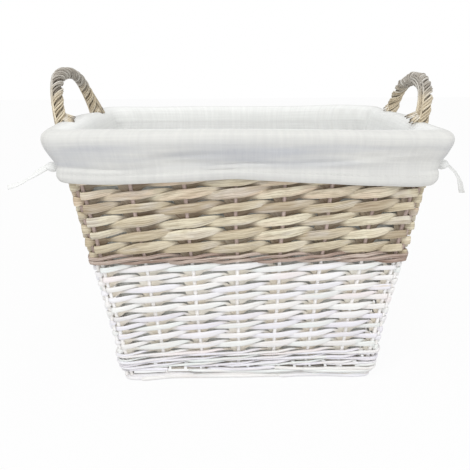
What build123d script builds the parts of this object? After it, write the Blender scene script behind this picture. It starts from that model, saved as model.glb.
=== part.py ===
"""A tapered wicker laundry basket with a cloth liner, one STEP file for each piece.

The frame: +Z up, X along the basket's long side, the front towards -Y. The origin is at the
middle of the footprint, on the floor. Millimetres.

The weave is pairing: in every row two flat split rods pass the stakes by turns, one in front of
each stake and one behind it, and cross between the stakes, the rod that leaves the front above
the rod that comes to it. Each rod is a chain of flat-sided sections that stands tall at a stake
and narrows where it crosses its partner.
"""

import os
from math import cos, hypot, pi, radians, sin, tan

from build123d import *

# %% The basket: planes through the middle of the stakes, at the floor and at the rim
floor_length = 328.6
floor_width = 277.0
rim_length = 456.0
rim_width = 330.0
rim_height = 346.0  # top of the border
corner_foot_out = 3.5  # at the floor the corner posts stand this far outside the meeting of the walls
corner_rim_in = 3.5  # and at the rim this far inside it

# %% Stakes and corner posts
stake_width = 6.0  # across the flats of a stake
front_stakes = 6
end_stakes = 4
front_drift = 15.0  # the stakes in the middle of the front stand this far to the right, at the rim

# %% Weave
painted_rod_height = 9.2
painted_rod_thickness = 3.0
painted_pitch = 14.3
painted_rows = 9
wale_rod_height = 6.4
wale_rod_thickness = 3.0
wale_pitch = 15.2
wale_rows = 1
natural_rod_height = 11.2
natural_rod_thickness = 3.6
natural_pitch = 16.6
rod_gap = 0.3  # between a rod and the stake that it bears on
row_gap = 0.2  # between rods that cross, and between one row and the next

# %% Foot, base and border
foot_rod_height = 9.0  # the stout rod that the basket stands on
foot_rod_width = 13.0
foot_gap = 10.0  # the stakes show between the foot rod and the foot's rails
foot_rails = 3
foot_rail_height = 9.0
top_rails = 2
top_rail_height = 16.6
rail_thickness = 3.6
border_rod = 11.0  # across each of the border's three rods
border_corner_in = 5.0  # the border's corners are drawn in this far
base_stick = 7.0
base_sticks = 6
base_strip_thickness = 2.4
base_strip_width = 18.0
base_strip_gap = 4.0

# %% Handles
handle_span = 158.0  # between the middles of the two legs
handle_top = 415.0  # outside of the arch, above the floor
handle_foot_out = 11.0  # the legs stand this far outside the stakes
handle_core = 8.0
handle_steps = 14
arch_fullness = 0.85  # the power of an ellipse's sine and cosine: under 1, the shoulders are fuller
handle_wrap_thickness = 3.6
handle_wrap_width = 13.0
handle_turn = 21.0  # one turn of the wrapping along the arch
handle_turn_steps = 5
handle_wrap_room = 0.8  # between the bundle and the core's corners
handle_wrap_start = 1.0  # from the cuff to the first turn
handle_tail = 6.0  # the core's trimmed end between the rails
handle_tail_depth = 50.0
handle_room = 1.5  # cut free round a handle's foot in the border, and beside it in the cuff

# %% Liner
cloth_thickness = 2.0  # the bag's wall
liner_clearance = 1.5  # between the rods and the bag
bag_corner_in = 6.0  # the bag's corners are drawn in this far
cuff_height = 69.0
cuff_thickness = 3.0
cuff_clearance = 1.2  # between the cuff and the border and weave under it
cuff_flare = 19.5  # outside of the cuff where it is fullest, beyond the stakes
cuff_edge_in = 2.0  # the cuff is this much less full at its top edge
cuff_edge_depth = 5.5  # below its top, the cuff is at its fullest
cuff_shoulder_depth = 27.5  # and has come in to the border
cuff_waist_depth = 48.0  # and half way from the border to the weave
cuff_top_corner = 16.0  # plan radius of the cuff's corners at its top
cuff_hem_corner = 6.0  # and at its hem

# %% Ties: the routes start in the knots, and the points are chosen by hand
tie_width = 7.5
tie_thickness = 1.6
knot_size = 15.0
knot_length = 16.0  # out from the cuff
knot_rings = 4
knot_seat = 2.0  # the knot is made this much longer, and cut to the cuff's slope
left_tie = [(-249, -150, 303), (-262, -149, 296), (-275, -147, 287), (-289, -145, 280), (-303, -143, 276)]
right_tie = [(248, -150, 302), (258, -149, 295), (266, -147, 285), (271, -145, 274.5), (274, -144, 264)]

# %% Heights up the wall, one above the other
rails_start = foot_rod_height + foot_gap
foot_top = rails_start + foot_rails * foot_rail_height
painted_top = foot_top + painted_rows * painted_pitch
wale_top = painted_top + wale_rows * wale_pitch
border_height = border_rod * (cos(pi / 6) + 1 / cos(pi / 6))
border_bottom = rim_height - border_height
top_rails_start = border_bottom - top_rails * top_rail_height
natural_rows = max(1, round((top_rails_start - wale_top) / natural_pitch))
natural_step = (top_rails_start - wale_top) / natural_rows
base_level = foot_rod_height + base_stick / 2
liner_floor = base_level + base_stick / 2 + base_strip_thickness + liner_clearance


# %% Solids from matching sections
def flat_face(corners):
    return Face(Wire.make_polygon(corners, close=True))


def sides(sections):
    """The faces between matching sections. A side whose corners aren't in one plane is two triangles."""
    faces = []
    for one, other in zip(sections, sections[1:]):
        for i in range(len(one)):
            j = (i + 1) % len(one)
            a, b, c, d = one[i], one[j], other[j], other[i]
            square = (b - a).cross(d - a).normalized()
            if abs(square.dot(c - a)) < 1e-6:
                faces.append(flat_face([a, b, c, d]))
            else:
                faces += [flat_face([a, b, c]), flat_face([a, c, d])]
    return faces


def skin(sections):
    """The closed solid through matching sections."""
    return Solid(Shell([flat_face(sections[0]), *sides(sections), flat_face(sections[-1])]))


def closed_ring(sections):
    """The solid whose sections go all the way round."""
    return Solid(Shell(sides(sections + sections[:1])))


def ring_of(radius, corners, start=0.0):
    """The corners of a regular outline round the origin."""
    turns = [start + 2 * pi * k / corners for k in range(corners)]
    return [(radius * cos(turn), radius * sin(turn)) for turn in turns]


def write(name, solids):
    """One node, with one or more solids, under its name."""
    node = solids[0] if len(solids) == 1 else Compound(children=solids)
    node.label = name
    export_step(node, f"parts/{name}.step")


# %% Walls
def half_length(z):
    return (floor_length + (rim_length - floor_length) * z / rim_height) / 2


def half_width(z):
    return (floor_width + (rim_width - floor_width) * z / rim_height) / 2


def corner_draw(z):
    """How far the corners of the weave are drawn in from the meeting of the walls."""
    return (corner_rim_in + corner_foot_out) * z / rim_height - corner_foot_out


class Wall:
    """One leaning wall. A place on it is u along it, n outwards from the stakes, and z up."""

    def __init__(self, name, turn, stakes, drift=0.0):
        self.name = name
        self.turn = radians(turn)
        self.stakes = stakes
        self.long = turn % 180 == 0
        self.drift = drift / (rim_length if self.long else rim_width) * 2

    def half(self, z):
        """From the wall's middle to the meeting of the walls, along it."""
        return half_length(z) if self.long else half_width(z)

    def at(self, u, n, z):
        out = (half_width(z) if self.long else half_length(z)) + n
        c, s = round(cos(self.turn)), round(sin(self.turn))
        return Vector(u * c + out * s, u * s - out * c, z)

    def stake_at(self, number, z):
        """Along the wall to a stake: number 1 is the first from the left, seen from outside."""
        even = 2 * number / (self.stakes + 1) - 1
        return self.half(z) * (even + self.drift * (1 - even**2))


walls = [Wall("front", 0, front_stakes, front_drift), Wall("right", 90, end_stakes),
         Wall("back", 180, front_stakes), Wall("left", 270, end_stakes)]
end_walls = [wall for wall in walls if not wall.long]


# %% Pieces that run along a wall, from corner to corner
def oblong(n, z, width, height):
    """A flat rod's (n, z) outline. Its middle is at n, and it stands on z."""
    return [(n - width / 2, z), (n + width / 2, z), (n + width / 2, z + height), (n - width / 2, z + height)]


def six_sided(n, z, across):
    """A stout rod's (n, z) outline, with upright flats. Its middle is at n, z."""
    return [(n + a, z + b) for a, b in ring_of(across / 2 / cos(pi / 6), 6, pi / 6)]


def corner(wall, end, outline, draw=corner_draw):
    """The section where this wall's piece meets the next wall's: drawn in as the corner is, and mitred."""
    return [wall.at(end * (wall.half(z) + n - draw(z)), n - draw(z), z) for n, z in outline]


def along_wall(wall, outline, draw=corner_draw):
    """A rod or panel that follows the stakes' plane, and draws in from the last stakes to the corners."""
    last = [[wall.at(wall.stake_at(k, z), n, z) for n, z in outline] for k in (1, wall.stakes)]
    return skin([corner(wall, -1, outline, draw), *last, corner(wall, 1, outline, draw)])


def rails(wall, bottom, count, height):
    """Flat rods packed close, one above another, outside the stakes, and one as tall as all inside them."""
    out = stake_width / 2 + rod_gap + rail_thickness / 2
    outer = [oblong(out, bottom + k * height, rail_thickness, height - row_gap) for k in range(count)]
    inner = oblong(-out, bottom, rail_thickness, count * height - row_gap)
    return [along_wall(wall, outline) for outline in outer + [inner]]


def border_draw(z):
    return border_corner_in


# %% Pairing
def bearing(thickness, spacing):
    """How far a rod's middle stands out from the stakes' plane as it passes a stake."""
    half_flat = stake_width / 2 * tan(pi / 6)
    return (stake_width / 2 + rod_gap + thickness / 2) / (1 - 4 * half_flat / spacing)


def narrowest(wall, level):
    """The smallest spacing of a wall's stakes."""
    return min(wall.stake_at(k + 1, level) - wall.stake_at(k, level) for k in range(1, wall.stakes))


def weave_depth():
    """From the stakes' plane to the outside of the thickest rods."""
    spacing = min(narrowest(wall, wale_top) for wall in walls)
    return bearing(natural_rod_thickness, spacing) + natural_rod_thickness / 2


def paired_rod(wall, level, pitch, height, thickness, in_front):
    """One of the two rods of a row, from corner to corner. It starts in front of the stakes or behind."""
    out = bearing(thickness, narrowest(wall, level))
    share = thickness / (2 * out)  # of the way to a crossing, where the two rods lie beside each other
    low = max(height / 2 * share / (1 - share), row_gap / 2)
    high = max(pitch / 2 - row_gap / 2, 1.5 * low)
    side = 1 if in_front else -1

    def section(u, n, bottom, top):
        return [wall.at(u, n + face * thickness / 2, level + z)
                for face, z in ((-1, bottom), (1, bottom), (1, top), (-1, top))]

    def corner_section(end):
        return corner(wall, end, oblong(side * out, level - height / 2, thickness, height))

    sections = [corner_section(-1)]
    for number in range(1, wall.stakes + 1):
        if side > 0 or number in (1, wall.stakes):
            sections.append(section(wall.stake_at(number, level), side * out, -height / 2, height / 2))
        if number < wall.stakes:
            between = (wall.stake_at(number, level) + wall.stake_at(number + 1, level)) / 2
            bottom, top = (low, high) if side > 0 else (-high, -low)
            sections.append(section(between, -out, bottom, top))
            side = -side
    sections.append(corner_section(1))
    return skin(sections)


def paired_rows(wall, bottom, pitch, rows, height, thickness):
    """Both rods of every row. A rod that is outside one corner post is inside the next."""
    return [paired_rod(wall, bottom + (row + 0.5) * pitch, pitch, height, thickness, rod == wall.long)
            for row in range(rows) for rod in (True, False)]


# %% Sticks that stand in the wall
def standing(wall, place, bottom, top, across, flats, start=0.0):
    """A stick with level ends between two heights. place gives its u and n at a height."""
    outline = ring_of(across / 2 / cos(pi / flats), flats, start)
    return skin([[wall.at(place(z)[0] + a, place(z)[1] + b, z) for a, b in outline] for z in (bottom, top)])


def stakes_of(wall):
    span = (foot_rod_height, border_bottom, stake_width)
    numbers = range(1, wall.stakes + 1)
    return [standing(wall, lambda z, k=k: (wall.stake_at(k, z), 0), *span, 6) for k in numbers]


def corner_post(wall, following):
    """Three sticks side by side round the corner after this wall: one in the corner, one in each wall."""
    def beside(side, w):
        def place(z):
            draw = corner_draw(z)
            last = w.stake_at(w.stakes if side > 0 else 1, z)
            slope = draw / (w.half(z) - abs(last))
            return side * (w.half(z) - draw - stake_width), stake_width * slope - draw
        return place

    span = (foot_rod_height, border_bottom, stake_width)
    middle = standing(wall, lambda z: (wall.half(z) - corner_draw(z), -corner_draw(z)), *span, 8, pi / 8)
    neighbours = [standing(w, beside(side, w), *span, 6) for side, w in ((1, wall), (-1, following))]
    return [middle, *neighbours]


# %% Base: sticks along the basket, and flat strips woven across them
def base_stick_places():
    inside = half_width(base_level) - foot_rod_width / 2
    return [inside * (2 * (k + 0.5) / base_sticks - 1) for k in range(base_sticks)]


def base_stick_at(y):
    """It rests on the end walls' foot rods, up to the stakes."""
    end = half_length(base_level) - stake_width
    outline = ring_of(base_stick / 2 / cos(pi / 6), 6)
    return skin([[Vector(x, y + a, base_level + b) for a, b in outline] for x in (-end, end)])


def base_strip(x, over_first):
    """It goes over and under the sticks by turns, and stops short of the stakes."""
    places = base_stick_places()
    half_flat = base_stick / 2 * tan(pi / 6)
    lift = ((base_stick + base_strip_thickness) / 2 + rod_gap) / (1 - 2 * half_flat / (places[1] - places[0]))
    edge = half_width(foot_rod_height) - stake_width / 2 / cos(pi / 6) - rod_gap
    route = [(-edge, 0)]
    over = over_first
    for y in places:
        route.append((y, lift if over else -lift))
        over = not over
    route.append((edge, 0))
    half_w, half_t = base_strip_width / 2, base_strip_thickness / 2
    outline = [(-half_w, -half_t), (half_w, -half_t), (half_w, half_t), (-half_w, half_t)]
    return skin([[Vector(x + a, y, base_level + z + b) for a, b in outline] for y, z in route])


# %% Handles: a core rod bent to an arch, and a flat bundle of rods wound round it
def wrap_radius():
    """To the middle of the bundle at the corners of its turns, whose sides bear on the core."""
    bearing_radius = handle_core / 2 / cos(pi / 6) + handle_wrap_room + handle_wrap_thickness / 2
    return bearing_radius / cos(pi / handle_turn_steps)


def arch():
    """The arch's middle line as (u, z): upright legs and a round top."""
    rise = handle_top - wrap_radius() - handle_wrap_thickness / 2 - rim_height
    line = []
    for k in range(handle_steps + 1):
        turn = pi * k / handle_steps
        side = -1 if turn < pi / 2 else 1
        u = side * handle_span / 2 * abs(cos(turn)) ** arch_fullness
        line.append((u, rim_height + rise * sin(turn) ** arch_fullness))
    return line


def across_line(line, k):
    """The level-most direction across a (u, z) line at its point k, stretched as a mitre needs."""
    steps = [Vector(q[0] - p[0], q[1] - p[1]).normalized() for p, q in zip(line, line[1:])]
    first, second = steps[max(k - 1, 0)], steps[min(k, len(steps) - 1)]
    along = (first + second).normalized()
    return Vector(-along.Y, along.X) / along.dot(first)


def handle_rod(wall, tail, core):
    """The core, from the end of one tail between the rails, up through the border and over."""
    leg = handle_span / 2
    tail_end = rim_height - handle_tail_depth
    down = [(leg, 0, tail_end, tail), (leg, 0, border_bottom, tail)]
    places = [(-u, n, z, size) for u, n, z, size in down]
    places += [(u, handle_foot_out, z, core) for u, z in arch()]
    places += down[::-1]
    line = [(u, z) for u, n, z, size in places]
    sections = []
    for k, (u, n, z, size) in enumerate(places):
        d = across_line(line, k)
        outline = ring_of(size / 2 / cos(pi / 6), 6)
        sections.append([wall.at(u + a * d.X, n + b, z + a * d.Y) for a, b in outline])
    return skin(sections)


def on_line(line, distance):
    """The place on a (u, z) line at this distance from its start, and the line's direction there."""
    for p, q in zip(line, line[1:]):
        step = hypot(q[0] - p[0], q[1] - p[1])
        if distance <= step or q is line[-1]:
            along = Vector(q[0] - p[0], q[1] - p[1]) / step
            return p[0] + along.X * distance, p[1] + along.Y * distance, along
        distance -= step


def handle_wrap(wall):
    """The bundle's turns, from just above the cuff on one leg to just above it on the other."""
    line = arch()
    length = sum(hypot(q[0] - p[0], q[1] - p[1]) for p, q in zip(line, line[1:]))
    start = cuff_clearance + cuff_thickness + handle_wrap_start + handle_wrap_width / 2
    steps = int((length - 2 * start) / handle_turn * handle_turn_steps)
    radius, half_t, half_w = wrap_radius(), handle_wrap_thickness / 2, handle_wrap_width / 2
    sections = []
    for k in range(steps + 1):
        u, z, along = on_line(line, start + (length - 2 * start) * k / steps)
        turn = 2 * pi * k / handle_turn_steps
        corners = []
        for a, b in ((-half_t, -half_w), (half_t, -half_w), (half_t, half_w), (-half_t, half_w)):
            side, out = (radius + a) * cos(turn), (radius + a) * sin(turn)
            corners.append(wall.at(u - along.Y * side + along.X * b, handle_foot_out + out,
                                   z + along.X * side + along.Y * b))
        sections.append(corners)
    return skin(sections)


# %% Liner: a bag of five panels, and a cuff folded down over the border
def bag_outside():
    return -(weave_depth() + liner_clearance)


def bag_draw(z):
    return bag_corner_in


def bag_bottom():
    """The floor panel, out to the bag's outside."""
    levels = []
    for z in (liner_floor, liner_floor + cloth_thickness):
        ring = []
        for wall in walls:
            n = bag_outside()
            ring += [wall.at(wall.stake_at(1, z), n, z), wall.at(wall.stake_at(wall.stakes, z), n, z)]
            ring += corner(wall, 1, [(n, z)], bag_draw)
        levels.append(ring)
    return skin(levels)


def cuff_outside():
    """The outside of the cuff, from its top edge down to the hem, as (n, z)."""
    top = rim_height + cuff_clearance + cuff_thickness
    cover = cuff_clearance + cuff_thickness
    over_border = 2 * border_rod - weave_depth() + cover
    over_weave = weave_depth() + cover
    depths = (0, cuff_edge_depth, cuff_shoulder_depth, cuff_waist_depth, cuff_height)
    reaches = (cuff_flare - cuff_edge_in, cuff_flare, over_border, (over_border + over_weave) / 2, over_weave)
    return [(n, top - depth) for n, depth in zip(reaches, depths)]


def cuff():
    """One ring, with round corners. Its (n, z) outline runs over the border and down to the hem."""
    outside = cuff_outside()
    top, hem = outside[0][1], outside[-1][1]
    under = top - cuff_thickness
    inside = [(n - cuff_thickness, max(hem, min(z, under))) for n, z in outside[::-1]]
    edge = bag_outside() - cloth_thickness
    outline = [(edge, top)] + outside + inside + [(edge, under)]
    sections = []
    for wall in walls:
        for turn in (0, pi / 6, pi / 3, pi / 2):
            section = []
            for n, z in outline:
                radius = cuff_hem_corner + (cuff_top_corner - cuff_hem_corner) * (z - hem) / (top - hem)
                back, off = radius * (1 - sin(turn)), radius * (1 - cos(turn))
                section.append(wall.at(wall.half(z) + n - back, n - off, z))
            sections.append(section)
    return closed_ring(sections)


def handle_slot(wall):
    """The cut along the cuff's top from leg to leg. The handle passes through it when the liner lifts off."""
    half = handle_core / 2 / cos(pi / 6) + handle_room
    outline = oblong(handle_foot_out, rim_height, 2 * half, cuff_clearance + 2 * cuff_thickness)
    return skin([[wall.at(side * (handle_span / 2 + half), n, z) for n, z in outline] for side in (-1, 1)])


def cuff_reach(level):
    """From the basket's middle to the outside of the cuff over an end wall, at a level."""
    outside = cuff_outside()
    for (upper_n, upper), (lower_n, lower) in zip(outside, outside[1:]):
        if level >= lower or lower == outside[-1][1]:
            n = lower_n + (upper_n - lower_n) * (level - lower) / (upper - lower)
            return half_length(level) + n


# %% Ties
def knot(side, start):
    """A small gathered lump on the cuff, out to the start of a tie. side is 1 towards +X."""
    x, y, z = start
    inner = cuff_reach(z) - knot_seat
    length = knot_length + knot_seat
    sections = []
    for k in range(knot_rings):
        turn = pi * (k + 0.5) / knot_rings
        out = inner + length * (1 - cos(turn) / cos(pi / 2 / knot_rings)) / 2
        outline = ring_of(knot_size / 2 * sin(turn), 6)
        sections.append([Vector(side * out, y + a, z + b) for a, b in outline])
    return skin(sections)


def tie(points):
    """A ribbon along straight runs joined by arcs as large as the runs allow."""
    places = [Vector(*p) for p in points]
    runs = [(b - a).length for a, b in zip(places, places[1:])]
    turns = [(b - a).get_angle(c - b) for a, b, c in zip(places, places[1:], places[2:])]
    radii = [0.45 * min(r, s) / tan(radians(t) / 2) for r, s, t in zip(runs, runs[1:], turns)]
    route = FilletPolyline(*places, radius=radii)
    start = Plane(origin=route @ 0, x_dir=(0, 1, 0), z_dir=route % 0)
    ribbon = sweep(start * Rectangle(tie_width, tie_thickness), path=route)
    section = tie_width * tie_thickness
    print("tie radii", [round(r) for r in radii], "length", round(route.length, 1),
          "volume share", round(ribbon.volume / section / route.length, 3))
    return ribbon


# %% Every node, written to its own file
os.makedirs("parts", exist_ok=True)

bands = [("painted", foot_top, painted_pitch, painted_rows, painted_rod_height, painted_rod_thickness),
         ("wale", painted_top, wale_pitch, wale_rows, wale_rod_height, wale_rod_thickness),
         ("natural", wale_top, natural_step, natural_rows, natural_rod_height, natural_rod_thickness)]
for wall, following in zip(walls, walls[1:] + walls[:1]):
    write(f"foot_rod_{wall.name}", [along_wall(wall, oblong(0, 0, foot_rod_width, foot_rod_height))])
    write(f"foot_rails_{wall.name}", rails(wall, rails_start, foot_rails, foot_rail_height))
    write(f"stakes_{wall.name}", stakes_of(wall))
    write(f"corner_post_{wall.name}_{following.name}", corner_post(wall, following))
    for weave, bottom, pitch, rows, height, thickness in bands:
        write(f"{weave}_rods_{wall.name}", paired_rows(wall, bottom, pitch, rows, height, thickness))
    write(f"top_rails_{wall.name}", rails(wall, top_rails_start, top_rails, top_rail_height))

    inmost = border_rod / 2 - weave_depth()
    low, high = border_bottom + border_rod / 2 / cos(pi / 6), rim_height - border_rod / 2 / cos(pi / 6)
    bundle = [(inmost, low), (inmost + border_rod, low), (inmost + border_rod / 2, high)]
    border = [along_wall(wall, six_sided(n, z, border_rod), border_draw) for n, z in bundle]
    if wall in end_walls:
        room = handle_rod(wall, handle_tail + 2 * handle_room, handle_core + 2 * handle_room)
        border = [piece for rod in border for piece in (rod - room).solids()]
    write(f"border_{wall.name}", border)

sticks = [base_stick_at(y) for y in base_stick_places()]
write("base_sticks", sticks)
strip_step = base_strip_width + base_strip_gap
strips = int((2 * half_length(base_level) - foot_rod_width) / strip_step)
write("base_weave", [base_strip((k - (strips - 1) / 2) * strip_step, k % 2 == 0) for k in range(strips)])

cover = cuff()
for wall in end_walls:
    write(f"handle_core_{wall.name}", [handle_rod(wall, handle_tail, handle_core)])
    write(f"handle_wrap_{wall.name}", [handle_wrap(wall)])
    cover -= handle_slot(wall)

wall_bottom = liner_floor + cloth_thickness
wall_height = rim_height + cuff_clearance - wall_bottom
side_outline = oblong(bag_outside() - cloth_thickness / 2, wall_bottom, cloth_thickness, wall_height)
for wall in walls:
    write(f"bag_{wall.name}", [along_wall(wall, side_outline, bag_draw)])
write("bag_bottom", [bag_bottom()])
write("cuff", cover.solids())
write("knot_left", (knot(-1, left_tie[0]) - cover).solids())
write("knot_right", (knot(1, right_tie[0]) - cover).solids())
write("tie_left", [tie(left_tie)])
write("tie_right", [tie(right_tie)])
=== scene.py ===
# %% [markdown]
# # A woven laundry basket with a cloth liner
#
# The basket stands on a foot of stout rods, its lower half is woven white, a thin pinkish wale
# divides it from the natural willow above, and a white cotton liner is folded down over its rim.
# The CAD frame gives every place and size. Here its plain solids get the look of real willow and
# cotton: split rods that bend round the stakes, roped handles, and cloth that rolls over the rim.

# %% Load the frame
from math import cos, pi, radians, sin

import bpy
import numpy as np
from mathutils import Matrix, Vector


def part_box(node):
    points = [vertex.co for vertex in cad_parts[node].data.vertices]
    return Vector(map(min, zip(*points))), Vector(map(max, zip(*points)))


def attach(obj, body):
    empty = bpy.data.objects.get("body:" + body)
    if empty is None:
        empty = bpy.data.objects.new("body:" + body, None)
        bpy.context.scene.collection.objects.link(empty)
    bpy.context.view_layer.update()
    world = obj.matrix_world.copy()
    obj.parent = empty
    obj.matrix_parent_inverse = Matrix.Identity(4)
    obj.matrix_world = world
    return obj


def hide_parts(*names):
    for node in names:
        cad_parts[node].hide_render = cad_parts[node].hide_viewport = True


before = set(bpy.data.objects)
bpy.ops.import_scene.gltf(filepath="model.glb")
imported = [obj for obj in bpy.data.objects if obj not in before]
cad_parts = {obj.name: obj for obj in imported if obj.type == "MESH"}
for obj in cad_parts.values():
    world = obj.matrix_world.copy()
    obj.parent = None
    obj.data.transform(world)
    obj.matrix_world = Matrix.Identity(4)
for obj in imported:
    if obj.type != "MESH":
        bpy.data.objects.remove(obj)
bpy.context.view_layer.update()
bpy.ops.object.select_all(action="DESELECT")
print("frame:", len(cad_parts), "nodes")

# %% [markdown]
# ## Camera
#
# A camera could be aimed at the basket with a constraint, but a fixed place and angle are easier to
# read. It stands in front, a little over the rim, and looks down by 17 degrees.

# %% Camera
look_down = 0.2936
bpy.ops.object.camera_add(location=(-0.0329, -0.8658, 0.4287), rotation=(pi / 2 - look_down, 0.0046, -0.0227))
camera = bpy.context.object
camera.name = "view"
camera.data.lens = 44.43
camera.data.clip_start = 0.01
bpy.context.scene.camera = camera
print("camera:", round(camera.data.lens, 1), "mm lens")

# %% [markdown]
# ## Ties
#
# A cotton tie hangs from a knot at each of the cuff's front corners. Its way is a smooth NURBS curve
# through the points that the frame's ties were swept along. The tape itself is a mesh round the
# points of that curve, because a mesh can be cupped, twisted and widened as a strip of cloth is.

# %% Ties
tie_width = 0.0074
tie_thickness = 0.0012


def linked(name, data):
    """A new object with this mesh or curve, in the scene."""
    piece = bpy.data.objects.new(name, data)
    bpy.context.collection.objects.link(piece)
    return piece


def points_of(mesh, what="co"):
    """A mesh's points, or their normals, as rows of three numbers."""
    values = np.empty(len(mesh.vertices) * 3)
    mesh.vertices.foreach_get(what, values)
    return values.reshape(-1, 3)


def note(piece, name, values):
    """Keeps a number or a vector for every point of a piece, for its finish."""
    values = np.asarray(values, np.float32)
    flat = values.ndim == 1
    attribute = piece.data.attributes.new(name, "FLOAT" if flat else "FLOAT_VECTOR", "POINT")
    attribute.data.foreach_set("value" if flat else "vector", values.ravel())


def ringed(name, rings, ends=False):
    """A mesh over rings of points. Each ring is joined to the next, and ends says to close the two ends."""
    count, corners = rings.shape[:2]
    index = np.arange(count * corners).reshape(count, corners)
    turned = np.roll(index, -1, axis=1)
    faces = np.stack([index[:-1], turned[:-1], turned[1:], index[1:]], axis=-1).reshape(-1, 4).tolist()
    if ends:
        faces += [index[0, ::-1].tolist(), index[-1].tolist()]
    mesh = bpy.data.meshes.new(name)
    mesh.from_pydata(rings.reshape(-1, 3).tolist(), [], faces)
    return linked(name, mesh)


def curved(name, dimensions="3D"):
    """A curve with nothing in it yet."""
    curve = bpy.data.curves.new(name, "CURVE")
    curve.dimensions = dimensions
    return linked(name, curve)


def spline_in(piece, kind, points, **values):
    """A spline of a curve, with its points and the numbers that each of them has."""
    spline = piece.data.splines.new(kind)
    spline.points.add(len(points) - 1)
    spline.points.foreach_set("co", np.c_[points, np.ones(len(points))].ravel())
    for name, value in values.items():
        spline.points.foreach_set(name, np.broadcast_to(value, len(points)))
    return spline


def nurbs_points(name, route):
    """The points of a smooth NURBS line with the route's points as its control points."""
    guide = curved(name)
    spline = spline_in(guide, "NURBS", route)
    spline.order_u = 3
    spline.use_endpoint_u = True
    spline.resolution_u = 12
    path = points_of(bpy.data.meshes.new_from_object(guide))
    bpy.data.objects.remove(guide)
    return path

# %% Tapes
def unit(vectors):
    return vectors / np.linalg.norm(vectors, axis=1, keepdims=True)


def tape(name, path, widths, twists, curl):
    """A flat tape along a path. widths are shares of its full width, twists are in degrees."""
    share = np.linspace(0, 1, len(path))
    knots = np.linspace(0, 1, len(widths))
    half = np.interp(share, knots, widths) * tie_width / 2
    twist = np.radians(np.interp(share, knots, twists))[:, None]
    ahead = unit(np.gradient(path, axis=0))
    level = unit(np.cross(ahead, (0, 0, 1)))
    side = level * np.cos(twist) + np.cross(level, ahead) * np.sin(twist)
    face = np.cross(side, ahead)
    spread = np.linspace(-1, 1, 9)
    across = np.r_[spread, spread[::-1]]
    layer = np.repeat([0.5, -0.5], 9) * np.where(np.abs(across) == 1, 0.5, 1.0)
    out = layer * tie_thickness + curl * (1 - across ** 2) * tie_width
    rings = path[:, None] + side[:, None] * (half[:, None] * across)[..., None] + face[:, None] * out[:, None]
    piece = ringed(name, rings, ends=True)
    piece.data.shade_smooth()
    along = np.repeat(share * 0.05, len(across))
    over = np.tile(across * tie_width / 2, len(path))
    note(piece, "cloth", np.stack([over, along, 0 * along], axis=1))
    return piece

# %% Left and right tie
left_route = [(-0.249, -0.150, 0.303), (-0.262, -0.149, 0.296), (-0.275, -0.147, 0.287),
              (-0.289, -0.145, 0.280), (-0.303, -0.143, 0.276)]
right_route = [(0.248, -0.150, 0.302), (0.258, -0.149, 0.295), (0.266, -0.147, 0.285),
               (0.271, -0.145, 0.2745), (0.274, -0.144, 0.264)]
ties = []
for side, route, length, widths, twists, curl in (
    ("left", left_route, 0.061, (1.0, 0.95, 0.7, 0.75, 0.85), (70, 60, 20, 40, 55), 0.10),
    ("right", right_route, 0.048, (0.5, 0.45, 0.5, 0.85, 1.0), (80, 75, 60, 45, 30), 0.08),
):
    path = nurbs_points(f"tie_{side}_line", route)
    piece = tape("tie_tape_" + side, path, widths, twists, curl)
    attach(piece, "liner")
    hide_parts("tie_" + side)
    ties.append(piece)
    print(piece.name, "is", round(1000 * length), "mm long")

# %% [markdown]
# ## Shader sums
#
# A material is a sum of noises, stripes and masks. Written as Python sums it stays readable: a
# `Value` stands for one socket, and its operators add the Math nodes that work it out.

# %% Shader sums
class Value:
    """A number, vector or colour in a finish's nodes. +, - and * work on numbers."""

    def __init__(self, finish, socket):
        self.finish = finish
        self.socket = socket

    def __add__(self, other):
        return self.finish.maths("ADD", self, other)

    def __sub__(self, other):
        return self.finish.maths("SUBTRACT", self, other)

    def __rsub__(self, other):
        return self.finish.maths("SUBTRACT", other, self)

    def __mul__(self, other):
        return self.finish.maths("MULTIPLY", self, other)

    __radd__ = __add__
    __rmul__ = __mul__


def paint(red, green, blue):
    """A colour as it looks, 0 to 255, as the linear colour that the nodes use."""
    def linear(value):
        value /= 255
        return value / 12.92 if value <= 0.04045 else ((value + 0.055) / 1.055) ** 2.4
    return linear(red), linear(green), linear(blue), 1.0

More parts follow.
